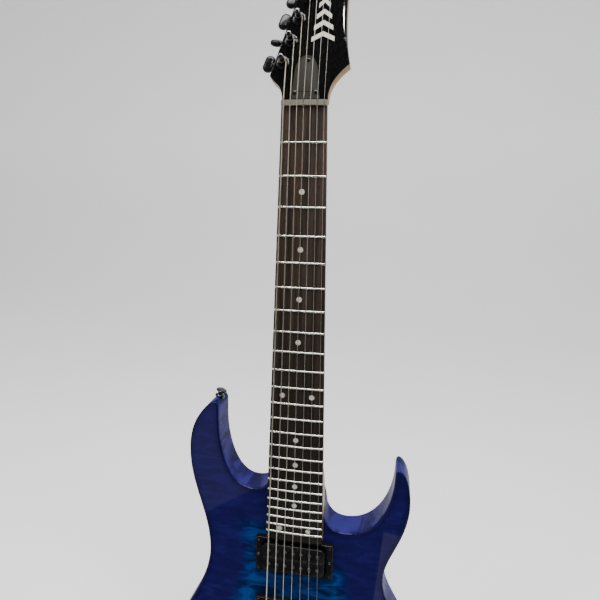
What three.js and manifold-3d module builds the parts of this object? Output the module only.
// A seven-string electric guitar with a bolt-on neck, two humbucking pickups and a fixed bridge.
//
// Millimetres. +Z runs up the neck, the front of the guitar faces -Y, and +X is the treble side.
// The origin is on the centre line behind the nut, on the back of the neck, where a stand's yoke
// holds the guitar. Depths along Y are measured from there: smaller is further forward.

import * as THREE from "three";
import { mergeVertices } from "three/addons/utils/BufferGeometryUtils.js";
import Module from "manifold-3d";

// ---------------------------------------------------------------- driving dimensions

const GAP = 0.3; // between neighbouring pieces

// scale and strings
const SCALE_LENGTH = 648;
const FRET_COUNT = 24;
const STRING_COUNT = 7;
const STRING_DIAMETERS = [0.25, 0.33, 0.43, 0.66, 0.91, 1.17, 1.5]; // string 1 is the highest
const STRING_SPACING_NUT = 7.07;
const STRING_SPACING_BRIDGE = 10.8;
const STRING_LIFT_NUT = 1.5; // underside of a string above the fingerboard
const STRING_LIFT_BRIDGE = 4.4;

// neck and fingerboard
const BOARD_FACE = -20; // crown of the fingerboard
const BOARD_THICKNESS = 6;
const BOARD_RADIUS = 400;
const BOARD_END = -496.5;
const NUT_WIDTH = 48;
const LAST_FRET_WIDTH = 68;
const NUT_LENGTH = 5.5;
const NECK_FACE = BOARD_FACE + BOARD_THICKNESS;
const HEEL_END = -494;
const HEEL_START = -432;
const HEEL_BACK = 6;
const TRUSS_ROD_DEPTH = -8;
const TRUSS_ROD_RADIUS = 2.5;
const TRUSS_ROD_END = 8;
const TRUSS_NUT_RADIUS = 3.5;

// headstock
const HEAD_TILT = THREE.MathUtils.degToRad(13);
const HEAD_THICKNESS = 13.5;
const HEAD_ORIGIN = new THREE.Vector3(0, -16.5, 4);

// tuners: a row of seven along the bass edge of the headstock
const TUNER_FIRST = new THREE.Vector2(-25.5, 42.2);
const TUNER_PITCH = 24.6;
const TUNER_LEAN = THREE.MathUtils.degToRad(17);
const POST_RADIUS = 3.1;
const POST_HEIGHT = 14.5;
const BUSHING_RADIUS = 5;
const BUSHING_BORE = POST_RADIUS + GAP;
const WORM_OFFSET = 3;
const WORM_DEPTH = 5.5; // below the back of the headstock
const BUTTON_TURNS = [34, 50, 18, 12, 10, 58, 4].map(THREE.MathUtils.degToRad); // strings 1 to 7

// body
const BODY_FRONT = -10;
const BODY_BACK = 30;
const BODY_MIDDLE = (BODY_FRONT + BODY_BACK) / 2;
const BODY_EDGE = 2.5;
const BUTT_END = -764;

// pickups and their rings
const PICKUP_CENTRES = { neck_pickup: -521.5, bridge_pickup: -604.5 };
const RING_WIDTH = 96;
const RING_LENGTH = 46;
const RING_HEIGHT = 6;
const BOBBIN_WIDTH = 76;
const BOBBIN_LENGTH = 17.5;
const PICKUP_FACE = -20.3;
const POLE_SPACING = 9.9;
const POLE_ROW = 9; // either side of the pickup's middle

// bridge
const BRIDGE_WIDTH = 84;
const BRIDGE_TOP_END = -634;
const BRIDGE_TAIL_END = -694;
const BRIDGE_THICKNESS = 3;
const BRIDGE_WALL = 3;
const BRIDGE_FACE = BODY_FRONT - GAP - BRIDGE_THICKNESS;
const BALL_HEIGHT = 4.4; // string holes in the tail wall, above the plate
const SADDLE_WIDTH = 9.6;
const SADDLE_TRAVEL = 2;

// controls on the treble side
const VOLUME_PLACE = new THREE.Vector2(76, -656);
const TONE_PLACE = new THREE.Vector2(92, -708);
const SWITCH_PLACE = new THREE.Vector2(112, -664);
const SWITCH_LEAN = THREE.MathUtils.degToRad(-20); // of the slot, from the Z axis
const SHAFT_RADIUS = 3;
const SHAFT_TOP = 12; // above the body's front
const JACK_HEIGHT = -700;
const CAVITY_FLOOR = -4; // the top is 6 mm thick over the control cavity
const COVER_THICKNESS = 2;

const BLACK_PLASTIC = { color: 0x17171a, roughness: 0.35, metalness: 0 };
const BLACK_METAL = { color: 0x26262b, roughness: 0.28, metalness: 1 };
const STEEL = { color: 0xb9bbc0, roughness: 0.3, metalness: 1 };
const LACQUER_BLUE = { color: 0x12246b, roughness: 0.12, metalness: 0 };
const MAPLE = { color: 0xc79a63, roughness: 0.4, metalness: 0 };
const DARK_WOOD = { color: 0x2c1c17, roughness: 0.6, metalness: 0 };
const GREY_PLASTIC = { color: 0x4a4845, roughness: 0.5, metalness: 0 };

// ---------------------------------------------------------------- solids and placing

const wasm = await Module();
wasm.setup();

function toSolid(geometry) {
  const bare = geometry.clone();
  bare.deleteAttribute("normal");
  bare.deleteAttribute("uv");
  const merged = mergeVertices(bare, 1e-4);
  return new wasm.Manifold(
    new wasm.Mesh({
      numProp: 3,
      vertProperties: merged.attributes.position.array,
      triVerts: new Uint32Array(merged.index.array),
    }),
  );
}

function toGeometry(solid) {
  const mesh = solid.getMesh();
  const geometry = new THREE.BufferGeometry();
  geometry.setAttribute("position", new THREE.BufferAttribute(mesh.vertProperties, 3));
  geometry.setIndex(new THREE.BufferAttribute(mesh.triVerts, 1));
  geometry.computeVertexNormals();
  return geometry;
}

function join(...geometries) {
  return toGeometry(geometries.map(toSolid).reduce((sum, solid) => sum.add(solid)));
}

function cut(geometry, ...tools) {
  return toGeometry(tools.map(toSolid).reduce((rest, tool) => rest.subtract(tool), toSolid(geometry)));
}

// A flat piece: an outline drawn in X and Z, filling the depth from front to back along Y.
function slab(outline, front, back, edge = 0, curveSegments = 6) {
  const geometry = new THREE.ExtrudeGeometry(outline, {
    depth: back - front - 2 * edge,
    bevelEnabled: edge > 0,
    bevelThickness: edge,
    bevelSize: edge,
    bevelOffset: -edge,
    bevelSegments: 1,
    curveSegments,
  });
  return geometry.translate(0, 0, edge).rotateX(Math.PI / 2).translate(0, back, 0);
}

// A plate on the face of a tilted group: an outline in X and Y, from low to high along Z.
function plate(outline, low, high, curveSegments = 8) {
  const depth = high - low;
  const geometry = new THREE.ExtrudeGeometry(outline, { depth, bevelEnabled: false, curveSegments });
  return geometry.translate(0, 0, low);
}

function box(xLow, xHigh, yLow, yHigh, zLow, zHigh) {
  const geometry = new THREE.BoxGeometry(xHigh - xLow, yHigh - yLow, zHigh - zLow);
  return geometry.translate((xLow + xHigh) / 2, (yLow + yHigh) / 2, (zLow + zHigh) / 2);
}

function roundedRectangle(width, height, radius) {
  const [right, top] = [width / 2, height / 2];
  const outline = new THREE.Shape();
  outline.absarc(right - radius, top - radius, radius, 0, Math.PI / 2);
  outline.absarc(-right + radius, top - radius, radius, Math.PI / 2, Math.PI);
  outline.absarc(-right + radius, -top + radius, radius, Math.PI, 1.5 * Math.PI);
  outline.absarc(right - radius, -top + radius, radius, 1.5 * Math.PI, 2 * Math.PI);
  return outline;
}

// A round bar between two points.
function rod(start, end, radius, sides = 12) {
  const along = new THREE.Vector3().subVectors(end, start);
  const geometry = new THREE.CylinderGeometry(radius, radius, along.length(), sides);
  const turn = new THREE.Quaternion().setFromUnitVectors(new THREE.Vector3(0, 1, 0), along.normalize());
  const middle = new THREE.Vector3().addVectors(start, end).multiplyScalar(0.5);
  return geometry.applyQuaternion(turn).translate(middle.x, middle.y, middle.z);
}

// A turned piece: [radius, height] pairs, made about the Z axis.
function turned(profile, sides = 18) {
  const points = profile.map(([radius, height]) => new THREE.Vector2(radius, height));
  return new THREE.LatheGeometry(points, sides).rotateX(Math.PI / 2);
}

// Moves every vertex of a geometry by a rule.
function reshape(geometry, rule) {
  const position = geometry.getAttribute("position");
  const point = new THREE.Vector3();
  for (let i = 0; i < position.count; i++) {
    point.fromBufferAttribute(position, i);
    rule(point);
    position.setXYZ(i, point.x, point.y, point.z);
  }
  return geometry;
}

function piece(name, geometry, material) {
  const mesh = new THREE.Mesh(geometry, new THREE.MeshStandardMaterial(material));
  mesh.name = name;
  return mesh;
}

// ---------------------------------------------------------------- rules of the scale

function fretPlace(number) {
  return -SCALE_LENGTH * (1 - 2 ** (-number / 12));
}

function halfWidthAt(z) {
  return (NUT_WIDTH + (LAST_FRET_WIDTH - NUT_WIDTH) * (z / fretPlace(FRET_COUNT))) / 2;
}

function archDrop(x) {
  return x ** 2 / (2 * BOARD_RADIUS);
}

// Centre of a string where it crosses the nut or a saddle. Strings are numbered 1 to 7 from the treble side.
function stringPoint(number, spacing, lift, z) {
  const x = spacing * ((STRING_COUNT + 1) / 2 - number);
  const y = BOARD_FACE + archDrop(x) - lift - STRING_DIAMETERS[number - 1] / 2;
  return new THREE.Vector3(x, y, z);
}

function stringAtNut(number) {
  return stringPoint(number, STRING_SPACING_NUT, STRING_LIFT_NUT, NUT_LENGTH);
}

function stringAtSaddle(number) {
  return stringPoint(number, STRING_SPACING_BRIDGE, STRING_LIFT_BRIDGE, -SCALE_LENGTH - SADDLE_TRAVEL - GAP);
}

function stringAtTailWall(number) {
  const x = stringAtSaddle(number).x;
  return new THREE.Vector3(x, BRIDGE_FACE - BALL_HEIGHT, BRIDGE_TAIL_END - 1);
}

function forEachString(make) {
  return Array.from({ length: STRING_COUNT }, (_, index) => make(index + 1));
}

// ---------------------------------------------------------------- body

function bodyOutline() {
  const outline = new THREE.Shape();
  outline.moveTo(0, BUTT_END);
  outline.bezierCurveTo(88, BUTT_END, 160, -746, 160, -690); // treble lower bout
  outline.bezierCurveTo(160, -612, 107.5, -584, 107.5, -539); // treble waist
  outline.bezierCurveTo(107.5, -509, 134, -484, 134, -440);
  outline.bezierCurveTo(134, -424, 130, -405, 122.5, -398.5); // treble horn
  outline.bezierCurveTo(118, -394.5, 115, -397, 115, -404);
  outline.bezierCurveTo(115, -446, 94.5, -484, 59, -484); // treble cutaway
  outline.bezierCurveTo(47, -484, 38, -478, 34, -466);
  outline.bezierCurveTo(32, -446, 27, -434, 14, -432); // tongue under the neck
  outline.lineTo(-33, -428);
  outline.bezierCurveTo(-38, -436, -45, -440, -55, -440); // bass cutaway
  outline.bezierCurveTo(-85.5, -440, -97, -391, -97, -358);
  outline.lineTo(-97, -342);
  outline.bezierCurveTo(-97, -334, -103, -331.5, -109, -337); // bass horn
  outline.bezierCurveTo(-128, -355.5, -134, -374, -134, -398);
  outline.bezierCurveTo(-134, -447, -109, -480, -109, -528); // bass waist
  outline.bezierCurveTo(-109, -582, -160, -630, -160, -674); // bass lower bout
  outline.bezierCurveTo(-160, -728, -95, BUTT_END, 0, BUTT_END);
  return outline;
}

function neckPocket() {
  const top = -380;
  const bottom = HEEL_END - GAP;
  const outline = new THREE.Shape();
  outline.moveTo(-halfWidthAt(bottom) - GAP, bottom);
  outline.lineTo(halfWidthAt(bottom) + GAP, bottom);
  outline.lineTo(halfWidthAt(top) + GAP, top);
  outline.lineTo(-halfWidthAt(top) - GAP, top);
  return slab(outline, BODY_FRONT - 1, HEEL_BACK + GAP);
}

function pickupCavity(centre) {
  const bobbins = slab(roundedRectangle(BOBBIN_WIDTH + 6, 2 * BOBBIN_LENGTH + 5, 4), BODY_FRONT - 1, 14);
  const ears = slab(roundedRectangle(RING_WIDTH - 3, 14, 3), BODY_FRONT - 1, 14);
  return join(bobbins, ears).translate(0, 0, centre);
}

// The control cavity, grown by a margin for the cover's rebate.
function controlCavityOutline(margin) {
  const outline = new THREE.Shape();
  outline.moveTo(62 - margin, -640 + margin);
  outline.lineTo(62 - margin, -722 - margin);
  outline.quadraticCurveTo(62 - margin, -730 - margin, 70, -730 - margin);
  outline.lineTo(104, -730 - margin);
  outline.quadraticCurveTo(137 + margin, -726 - margin, 137 + margin, -690);
  outline.quadraticCurveTo(137 + margin, -658, 122 + margin, -634 + margin);
  outline.lineTo(68, -634 + margin);
  outline.quadraticCurveTo(62 - margin, -634 + margin, 62 - margin, -640 + margin);
  return outline;
}

// A rounded cutter for a comfort contour: it sinks to a depth below a face, centred at x and z.
function contourCutter(place, face, inward, depth, reach) {
  const bulge = 100;
  const spread = Math.sqrt(1 - (1 - depth / bulge) ** 2); // share of the cutter's width that meets the face
  return new THREE.SphereGeometry(1, 40, 32)
    .scale(reach.x / spread, bulge, reach.y / spread)
    .translate(place.x, face + inward * (depth - bulge), place.y);
}

function bellyContour() {
  return contourCutter(new THREE.Vector2(-140, -520), BODY_BACK, -1, 15, new THREE.Vector2(78, 125));
}

function forearmContour() {
  return contourCutter(new THREE.Vector2(-182, -702), BODY_FRONT, 1, 11, new THREE.Vector2(84, 80));
}

function bodyBores() {
  const through = (place, radius) =>
    rod(new THREE.Vector3(place.x, BODY_FRONT - 1, place.y), new THREE.Vector3(place.x, 0, place.y), radius);
  const switchSlot = box(-1.6, 1.6, BODY_FRONT - 1, 0, -14, 14)
    .rotateY(SWITCH_LEAN)
    .translate(SWITCH_PLACE.x, 0, SWITCH_PLACE.y);
  const jackHole = rod(
    new THREE.Vector3(120, BODY_MIDDLE, JACK_HEIGHT),
    new THREE.Vector3(170, BODY_MIDDLE, JACK_HEIGHT),
    12.5,
    16,
  );
  return [through(VOLUME_PLACE, 5), through(TONE_PLACE, 5), switchSlot, jackHole];
}

function body() {
  const blank = slab(bodyOutline(), BODY_FRONT, BODY_BACK, BODY_EDGE);
  const geometry = cut(
    blank,
    neckPocket(),
    pickupCavity(PICKUP_CENTRES.neck_pickup),
    pickupCavity(PICKUP_CENTRES.bridge_pickup),
    slab(controlCavityOutline(0), CAVITY_FLOOR, BODY_BACK + 1),
    slab(controlCavityOutline(5), BODY_BACK - COVER_THICKNESS - GAP, BODY_BACK + 1),
    ...bodyBores(),
    bellyContour(),
    forearmContour(),
  );
  return piece("body", geometry, LACQUER_BLUE);
}

function controlCavityCover() {
  const geometry = slab(controlCavityOutline(5 - GAP), BODY_BACK - COVER_THICKNESS, BODY_BACK);
  return piece("control_cavity_cover", geometry, BLACK_PLASTIC);
}

function neckPlate() {
  const geometry = slab(roundedRectangle(46, 52, 6), BODY_BACK + GAP, BODY_BACK + GAP + 1.6);
  return piece("neck_plate", geometry.translate(-3, 0, -465), BLACK_METAL);
}

function strapButton(name) {
  const profile = [[0, 0], [6, 0], [6, 1.2], [3.6, 3.4], [3.6, 5.8], [6.6, 7], [6.6, 8.6], [5.6, 9.4], [0, 9.4]];
  return piece(name, turned(profile), BLACK_METAL);
}

function strapButtons() {
  const upper = strapButton("strap_button_upper");
  upper.position.set(-102, BODY_MIDDLE, -333.7);
  upper.rotation.y = THREE.MathUtils.degToRad(18);
  const lower = strapButton("strap_button_lower");
  lower.position.set(0, BODY_MIDDLE, BUTT_END - GAP);
  lower.rotation.y = Math.PI;
  return [upper, lower];
}

// ---------------------------------------------------------------- neck, fingerboard and nut

// Depth of the neck behind the fingerboard, and how square its back is, at a place along the neck.
function neckBackAt(z) {
  const shaft = THREE.MathUtils.lerp(0, 2.4, THREE.MathUtils.clamp(z / HEEL_START, 0, 1));
  const heel = THREE.MathUtils.smoothstep(-z, -HEEL_START - 34, -HEEL_START);
  return {
    depth: THREE.MathUtils.lerp(shaft, HEEL_BACK, heel) - NECK_FACE,
    squareness: THREE.MathUtils.lerp(2.3, 14, heel),
  };
}

function neckShaft() {
  const top = 13;
  const halfDisc = new THREE.Shape();
  halfDisc.absarc(0, 0, 1, 0, Math.PI);
  halfDisc.closePath();
  const geometry = new THREE.ExtrudeGeometry(halfDisc, {
    depth: 1,
    steps: 20,
    bevelEnabled: false,
    curveSegments: 9,
  });
  return reshape(geometry, (point) => {
    const z = THREE.MathUtils.lerp(HEEL_END, top, point.z);
    const { depth, squareness } = neckBackAt(z);
    const reach = Math.hypot(point.x, point.y);
    if (reach > 0) {
      const [across, deep] = [Math.abs(point.x) / reach, Math.abs(point.y) / reach];
      point.multiplyScalar((across ** squareness + deep ** squareness) ** (-1 / squareness) / reach);
    }
    point.set(point.x * halfWidthAt(Math.min(z, 0)), NECK_FACE + point.y * depth, z);
  });
}

// Drawn on the face of the headstock: X towards the treble side, Y up the headstock.
function headstockOutline() {
  const outline = new THREE.Shape();
  outline.moveTo(-24, 2.3);
  outline.lineTo(24, 2.3);
  outline.bezierCurveTo(24.4, 12, 25, 20, 35.9, 32.1); // treble shoulder
  outline.quadraticCurveTo(39, 35.6, 44.6, 40.3);
  outline.bezierCurveTo(41, 56, 38.9, 72, 38.5, 100); // treble edge
  outline.bezierCurveTo(38.4, 140, 40, 170, 42, 196);
  outline.quadraticCurveTo(42.6, 209, 35, 213); // tip
  outline.quadraticCurveTo(20, 212, 11.5, 200);
  outline.lineTo(-39.2, 29.2); // bass edge
  outline.bezierCurveTo(-37, 26, -34, 23, -30, 19.5); // bass shoulder
  outline.bezierCurveTo(-26.4, 16, -25, 10, -24, 2.3);
  return outline;
}

// From the frame of the headstock's face to the frame of the guitar.
function headMatrix() {
  const turn = new THREE.Quaternion().setFromAxisAngle(new THREE.Vector3(1, 0, 0), Math.PI / 2 - HEAD_TILT);
  return new THREE.Matrix4().compose(HEAD_ORIGIN, turn, new THREE.Vector3(1, 1, 1));
}

function tunerPlace(number) {
  const fromFirst = (STRING_COUNT - number) * TUNER_PITCH;
  const along = new THREE.Vector2(Math.sin(TUNER_LEAN), Math.cos(TUNER_LEAN));
  return TUNER_FIRST.clone().addScaledVector(along, fromFirst);
}

function headstock() {
  const blank = plate(headstockOutline(), -HEAD_THICKNESS, 0);
  const holes = forEachString((number) => {
    const { x, y } = tunerPlace(number);
    return rod(new THREE.Vector3(x, y, -HEAD_THICKNESS - 1), new THREE.Vector3(x, y, 1), BUSHING_RADIUS + GAP);
  });
  return cut(blank, ...holes).applyMatrix4(headMatrix());
}

// The rod's channel under the fingerboard, and the wider pocket for its nut in the headstock.
function trussRodChannel() {
  const halfWidth = TRUSS_ROD_RADIUS + 2 * GAP;
  const floor = TRUSS_ROD_DEPTH + halfWidth;
  const rodRoom = box(-halfWidth, halfWidth, TRUSS_ROD_DEPTH - halfWidth, floor, -470, 12);
  const pocketHalf = TRUSS_NUT_RADIUS + 1;
  const pocket = box(-pocketHalf, pocketHalf, -30, TRUSS_ROD_DEPTH + pocketHalf, NUT_LENGTH + 2, 32);
  return [rodRoom, pocket];
}

function neck() {
  const geometry = cut(join(neckShaft(), headstock()), ...trussRodChannel());
  return piece("neck", geometry, MAPLE);
}

// A block with a flat underside and an arched top that follows the fingerboard's radius.
function archedBlock(low, high, topFace, underside, inset) {
  const steps = 4;
  const section = new THREE.Shape();
  section.moveTo(-1, 1);
  for (let i = 0; i <= steps; i++) section.lineTo(-1 + (2 * i) / steps, 0);
  section.lineTo(1, 1);
  const geometry = new THREE.ExtrudeGeometry(section, { depth: high - low, bevelEnabled: false });
  return reshape(geometry.translate(0, 0, low), (point) => {
    point.x *= halfWidthAt(point.z) - inset;
    point.y = point.y > 0.5 ? underside : topFace + archDrop(point.x);
  });
}

function fingerboard() {
  const crownWidth = 2.4;
  const crownHeight = 1.1;
  const board = archedBlock(BOARD_END, -GAP, BOARD_FACE, NECK_FACE - GAP, 0);
  const frets = Array.from({ length: FRET_COUNT }, (_, index) => {
    const z = fretPlace(index + 1);
    return archedBlock(z - crownWidth / 2, z + crownWidth / 2, BOARD_FACE - crownHeight, BOARD_FACE + 3, 0.5);
  });
  return piece("fingerboard", join(board, ...frets), DARK_WOOD);
}

function nut() {
  const half = NUT_WIDTH / 2;
  const topAt = (x) => BOARD_FACE - STRING_LIFT_NUT - 1 + archDrop(x);
  const outline = new THREE.Shape();
  outline.moveTo(half, topAt(half));
  for (let number = 1; number <= STRING_COUNT; number++) {
    const { x, y } = stringAtNut(number);
    const room = STRING_DIAMETERS[number - 1] / 2 + GAP;
    outline.lineTo(x + room, topAt(x + room));
    outline.lineTo(x + room, y + room);
    outline.lineTo(x - room, y + room);
    outline.lineTo(x - room, topAt(x - room));
  }
  outline.lineTo(-half, topAt(half));
  outline.lineTo(-half, NECK_FACE - GAP);
  outline.lineTo(half, NECK_FACE - GAP);
  const geometry = new THREE.ExtrudeGeometry(outline, { depth: NUT_LENGTH, bevelEnabled: false });
  return piece("nut", geometry, GREY_PLASTIC);
}

function trussRod() {
  const start = new THREE.Vector3(0, TRUSS_ROD_DEPTH, -468);
  const end = new THREE.Vector3(0, TRUSS_ROD_DEPTH, TRUSS_ROD_END);
  return piece("truss_rod", rod(start, end, TRUSS_ROD_RADIUS), STEEL);
}

// A barrel with a hexagonal socket for the key.
function trussRodNut() {
  const length = 10;
  const barrel = rod(new THREE.Vector3(0, 0, 0), new THREE.Vector3(0, 0, length), TRUSS_NUT_RADIUS, 16);
  const socket = rod(new THREE.Vector3(0, 0, length - 6), new THREE.Vector3(0, 0, length + 1), 2.2, 6);
  const mesh = piece("truss_rod_nut", cut(barrel, socket), BLACK_METAL);
  mesh.position.set(0, TRUSS_ROD_DEPTH, TRUSS_ROD_END + GAP);
  return mesh;
}

function trussRodCover() {
  const outline = new THREE.Shape();
  outline.moveTo(-16, 2.7);
  outline.lineTo(16, 2.7);
  outline.bezierCurveTo(14, 12, 12.6, 22, 12.2, 31);
  outline.bezierCurveTo(11.8, 41, 7, 49, 0, 49);
  outline.bezierCurveTo(-7, 49, -11.8, 41, -12.2, 31);
  outline.bezierCurveTo(-12.6, 22, -14, 12, -16, 2.7);
  return piece("truss_rod_cover", plate(outline, GAP, 2.2), GREY_PLASTIC);
}

// ---------------------------------------------------------------- tuners

// Each tuner is made about its post: X towards the button, Z out of the headstock's face.
function tunerHousing(number) {
  const back = -HEAD_THICKNESS - GAP;
  const gearBox = plate(roundedRectangle(20, 17, 4), back - 11, back, 2).translate(1, 0, 0);
  const bushing = rod(new THREE.Vector3(0, 0, back - 1), new THREE.Vector3(0, 0, 2.6), BUSHING_RADIUS, 10);
  const washer = rod(new THREE.Vector3(0, 0, GAP), new THREE.Vector3(0, 0, 1.6), 7, 10);
  const postBore = rod(new THREE.Vector3(0, 0, back - 8), new THREE.Vector3(0, 0, 5), BUSHING_BORE, 10);
  const wormBore = rod(
    new THREE.Vector3(6, -WORM_OFFSET, back - WORM_DEPTH),
    new THREE.Vector3(15, -WORM_OFFSET, back - WORM_DEPTH),
    2 + GAP,
    8,
  );
  const geometry = cut(join(gearBox, bushing, washer), postBore, wormBore);
  return piece(`tuner_housing_${number}`, geometry, BLACK_METAL);
}

function tunerPost(number) {
  const foot = -HEAD_THICKNESS - 7;
  const profile = [
    [0, foot],
    [POST_RADIUS, foot],
    [POST_RADIUS, 4.5],
    [POST_RADIUS - 0.6, 6],
    [POST_RADIUS - 0.6, 10.5],
    [POST_RADIUS, 12],
    [POST_RADIUS, POST_HEIGHT - 0.8],
    [POST_RADIUS - 0.8, POST_HEIGHT],
    [0, POST_HEIGHT],
  ];
  const stringHole = rod(new THREE.Vector3(-5, 0, 9), new THREE.Vector3(5, 0, 9), 1, 6);
  return piece(`tuner_post_${number}`, cut(turned(profile, 10), stringHole), STEEL);
}

// The button and its shaft, made about the shaft's own axis along X.
function tunerButton(number) {
  const paddle = roundedRectangle(11.6, 19, 5);
  const geometry = new THREE.ExtrudeGeometry(paddle, {
    depth: 3.4,
    bevelThickness: 1.6,
    bevelSize: 1.6,
    bevelOffset: -1.6,
    bevelSegments: 1,
    curveSegments: 2,
  }).translate(22, 0, -1.7);
  const shaft = rod(new THREE.Vector3(7, 0, 0), new THREE.Vector3(17, 0, 0), 2, 8);
  const collar = rod(new THREE.Vector3(11.3, 0, 0), new THREE.Vector3(17.5, 0, 0), 3, 8);
  const mesh = piece(`tuner_button_${number}`, join(geometry, shaft, collar), BLACK_PLASTIC);
  mesh.position.set(0, -WORM_OFFSET, -HEAD_THICKNESS - GAP - WORM_DEPTH);
  mesh.rotation.x = BUTTON_TURNS[number - 1];
  return mesh;
}

function tuner(number) {
  const group = new THREE.Group();
  const { x, y } = tunerPlace(number);
  group.position.set(x, y, 0);
  group.rotation.z = Math.PI - TUNER_LEAN;
  group.add(tunerHousing(number), tunerPost(number), tunerButton(number));
  return group;
}

// ---------------------------------------------------------------- strings

// Where a string meets its post, on the treble side of the post's waist.
function stringAtPost(number) {
  const { x, y } = tunerPlace(number);
  const clear = POST_RADIUS + STRING_DIAMETERS[number - 1] / 2 + GAP;
  return new THREE.Vector3(x + clear, y, 5.2).applyMatrix4(headMatrix());
}

// A string is a chain of straight stretches between rings: ball end, tail wall, saddle, nut and post.
function guitarString(number) {
  const radius = STRING_DIAMETERS[number - 1] / 2;
  const ballRadius = 1.9;
  const ballLength = 3.2;
  const tail = stringAtTailWall(number);
  const ballEnd = tail.clone().add(new THREE.Vector3(0, 0, -ballLength));
  const rings = [
    { centre: ballEnd, radius: ballRadius },
    { centre: tail, radius: ballRadius },
    { centre: tail, radius },
    { centre: stringAtSaddle(number), radius },
    { centre: stringAtNut(number), radius },
    { centre: stringAtPost(number), radius },
  ];
  const circle = new THREE.Shape();
  circle.absarc(0, 0, 1, 0, 2 * Math.PI);
  const steps = rings.length - 1;
  const geometry = new THREE.ExtrudeGeometry(circle, { depth: steps, steps, bevelEnabled: false, curveSegments: 8 });
  reshape(geometry, (point) => {
    const ring = rings[Math.round(point.z)];
    point.setZ(0).multiplyScalar(ring.radius).add(ring.centre);
  });
  return piece(`string_${number}`, geometry, STEEL);
}

// ---------------------------------------------------------------- pickups

function pickupRing(pickupName) {
  const outer = roundedRectangle(RING_WIDTH, RING_LENGTH, 3);
  outer.holes.push(new THREE.Path(roundedRectangle(BOBBIN_WIDTH + 3, 2 * BOBBIN_LENGTH + 4, 5).getPoints(4)));
  const geometry = slab(outer, BODY_FRONT - RING_HEIGHT, BODY_FRONT - GAP, 0, 4);
  return piece(`${pickupName}_ring`, geometry.translate(0, 0, PICKUP_CENTRES[pickupName]), BLACK_PLASTIC);
}

function pickup(name) {
  const bobbin = slab(roundedRectangle(BOBBIN_WIDTH, BOBBIN_LENGTH, 6), PICKUP_FACE, -3, 0, 3);
  const spacer = box(-30, 30, -17, -3, -4, 4);
  const baseplate = slab(roundedRectangle(BOBBIN_WIDTH, 2 * BOBBIN_LENGTH, 2), -3.5, -1.5, 0, 2);
  const ears = slab(roundedRectangle(91, 10, 2), -2.5, -1, 0, 2);
  const poles = forEachString((number) => {
    const x = POLE_SPACING * ((STRING_COUNT + 1) / 2 - number);
    return [-POLE_ROW, POLE_ROW].map((z) =>
      rod(new THREE.Vector3(x, PICKUP_FACE - 0.7, z), new THREE.Vector3(x, PICKUP_FACE + 2, z), 2.4, 6));
  }).flat();
  const halves = [-POLE_ROW, POLE_ROW].map((z) => bobbin.clone().translate(0, 0, z));
  const geometry = join(baseplate, ears, spacer, ...halves, ...poles);
  return piece(name, geometry.translate(0, 0, PICKUP_CENTRES[name]), BLACK_PLASTIC);
}

// ---------------------------------------------------------------- bridge

function bridgePlate() {
  const length = BRIDGE_TOP_END - BRIDGE_TAIL_END;
  const base = slab(roundedRectangle(BRIDGE_WIDTH, length, 3), BRIDGE_FACE, BODY_FRONT - GAP)
    .translate(0, 0, (BRIDGE_TOP_END + BRIDGE_TAIL_END) / 2);
  const half = BRIDGE_WIDTH / 2 - 1;
  const wallTop = BRIDGE_FACE - 8;
  const wall = box(-half, half, wallTop, BRIDGE_FACE + 1, BRIDGE_TAIL_END + GAP, BRIDGE_TAIL_END + BRIDGE_WALL);
  const stringHoles = forEachString((number) => {
    const { x, y } = stringAtTailWall(number);
    const radius = STRING_DIAMETERS[number - 1] / 2 + GAP + 0.5;
    return rod(
      new THREE.Vector3(x, y, BRIDGE_TAIL_END - 2),
      new THREE.Vector3(x, y, BRIDGE_TAIL_END + BRIDGE_WALL + 2),
      radius,
      6,
    );
  });
  return piece("bridge_plate", cut(join(base, wall), ...stringHoles), BLACK_METAL);
}

// The string rests in a notch across the saddle's crown, and the saddle slopes away behind it.
function saddle(number) {
  const { x, y } = stringAtSaddle(number);
  const radius = STRING_DIAMETERS[number - 1] / 2;
  const foot = BRIDGE_FACE - GAP;
  const crown = y + radius - 0.5;
  const side = new THREE.Shape();
  side.moveTo(-5, foot);
  side.lineTo(-5, crown + 2);
  side.lineTo(-3, crown);
  side.lineTo(0, crown);
  side.lineTo(4, crown + 2.2);
  side.lineTo(16, crown + 5.5);
  side.lineTo(16, foot);
  const block = new THREE.ExtrudeGeometry(side, { depth: SADDLE_WIDTH, bevelEnabled: false })
    .rotateY(Math.PI / 2)
    .translate(-SADDLE_WIDTH / 2, 0, 0);
  const notchFloor = y + radius + GAP;
  const notch = box(-radius - GAP, radius + GAP, crown - 5, notchFloor, -6, 12);
  const mesh = piece(`saddle_${number}`, cut(block, notch), BLACK_METAL);
  mesh.position.set(x, 0, -SCALE_LENGTH);
  return mesh;
}

// ---------------------------------------------------------------- controls and output

// Potentiometer, shaft and knob are made about their axis, with Z out of the body's front.
function potentiometer(name) {
  const canTop = BODY_FRONT - CAVITY_FLOOR - GAP;
  const can = rod(new THREE.Vector3(0, 0, canTop - 10), new THREE.Vector3(0, 0, canTop), 8.5, 20);
  const collar = rod(new THREE.Vector3(0, 0, canTop - 1), new THREE.Vector3(0, 0, 1.8), 4.4, 16);
  const bore = rod(new THREE.Vector3(0, 0, canTop - 7), new THREE.Vector3(0, 0, 3), SHAFT_RADIUS + GAP, 16);
  return piece(`${name}_pot`, cut(join(can, collar), bore), STEEL);
}

function potentiometerShaft(name) {
  const foot = BODY_FRONT - CAVITY_FLOOR - 6;
  const shaft = rod(new THREE.Vector3(0, 0, foot), new THREE.Vector3(0, 0, SHAFT_TOP), SHAFT_RADIUS, 16);
  return piece(`${name}_shaft`, shaft, STEEL);
}

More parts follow.
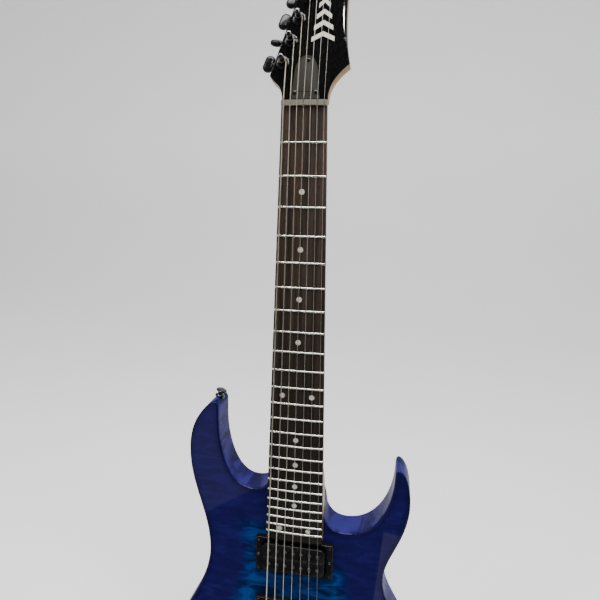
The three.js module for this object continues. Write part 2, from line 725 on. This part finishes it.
function controlKnob(name) {
  const profile = [[0, 2.5], [9.4, 2.5], [9.4, 4.5], [8.6, 17.2], [7.6, 18.2], [0, 18.2]];
  const hollowTop = SHAFT_TOP + GAP;
  const hollow = rod(new THREE.Vector3(0, 0, 2), new THREE.Vector3(0, 0, hollowTop), SHAFT_RADIUS + GAP, 16);
  const pointer = box(-0.6, 0.6, 5, 8, 17.8, 19);
  return piece(`${name}_knob`, cut(turned(profile), hollow, pointer), BLACK_METAL);
}

function control(name, place) {
  const group = new THREE.Group();
  group.position.set(place.x, BODY_FRONT, place.y);
  group.rotation.x = Math.PI / 2;
  group.add(potentiometer(name), potentiometerShaft(name), controlKnob(name));
  return group;
}

// The blade switch hangs inside the cavity, and its lever swings in the slot about an axis across the slot.
function selector() {
  const group = new THREE.Group();
  group.position.set(SWITCH_PLACE.x, 0, SWITCH_PLACE.y);
  group.rotation.y = SWITCH_LEAN;
  const frame = box(-6, 6, CAVITY_FLOOR + GAP, CAVITY_FLOOR + 14, -19, 19);
  const leverRoom = box(-1.6, 1.6, CAVITY_FLOOR - 1, CAVITY_FLOOR + 9, -15, 15);
  group.add(piece("selector_switch", cut(frame, leverRoom), STEEL));
  const pivotDepth = 2;
  const stem = box(-0.6, 0.6, -19.5, 1.5, -1.8, 1.8);
  const tip = new THREE.SphereGeometry(1, 12, 10).scale(2.6, 3.6, 3.4).translate(0, -21, 0);
  const lever = piece("selector_lever", join(stem, tip), BLACK_PLASTIC);
  lever.position.y = pivotDepth;
  group.add(lever);
  return group;
}

function outputJack() {
  const cup = rod(new THREE.Vector3(-14, 0, 0), new THREE.Vector3(-3.4, 0, 0), 10, 16);
  const barrel = rod(new THREE.Vector3(-30, 0, 0), new THREE.Vector3(-13, 0, 0), 6, 16);
  const flange = rod(new THREE.Vector3(-3.4 - GAP, 0, 0), new THREE.Vector3(-1.6, 0, 0), 11.8, 16);
  const dish = rod(new THREE.Vector3(-10, 0, 0), new THREE.Vector3(1, 0, 0), 8, 16);
  const bore = rod(new THREE.Vector3(-28, 0, 0), new THREE.Vector3(1, 0, 0), 3.4, 12);
  const mesh = piece("output_jack", cut(join(cup, barrel, flange), dish, bore), BLACK_METAL);
  mesh.position.set(160, BODY_MIDDLE, JACK_HEIGHT);
  return mesh;
}

// ---------------------------------------------------------------- assembly

const guitar = new THREE.Group();
guitar.add(body(), controlCavityCover(), neckPlate(), ...strapButtons());
guitar.add(neck(), fingerboard(), nut(), trussRod(), trussRodNut());

const headstockFace = new THREE.Group();
headstockFace.applyMatrix4(headMatrix());
headstockFace.add(trussRodCover(), ...forEachString(tuner));
guitar.add(headstockFace);

guitar.add(...forEachString(guitarString));
guitar.add(bridgePlate(), ...forEachString(saddle));
for (const name of Object.keys(PICKUP_CENTRES)) guitar.add(pickupRing(name), pickup(name));
guitar.add(control("volume", VOLUME_PLACE), control("tone", TONE_PLACE), selector(), outputJack());

export default guitar;
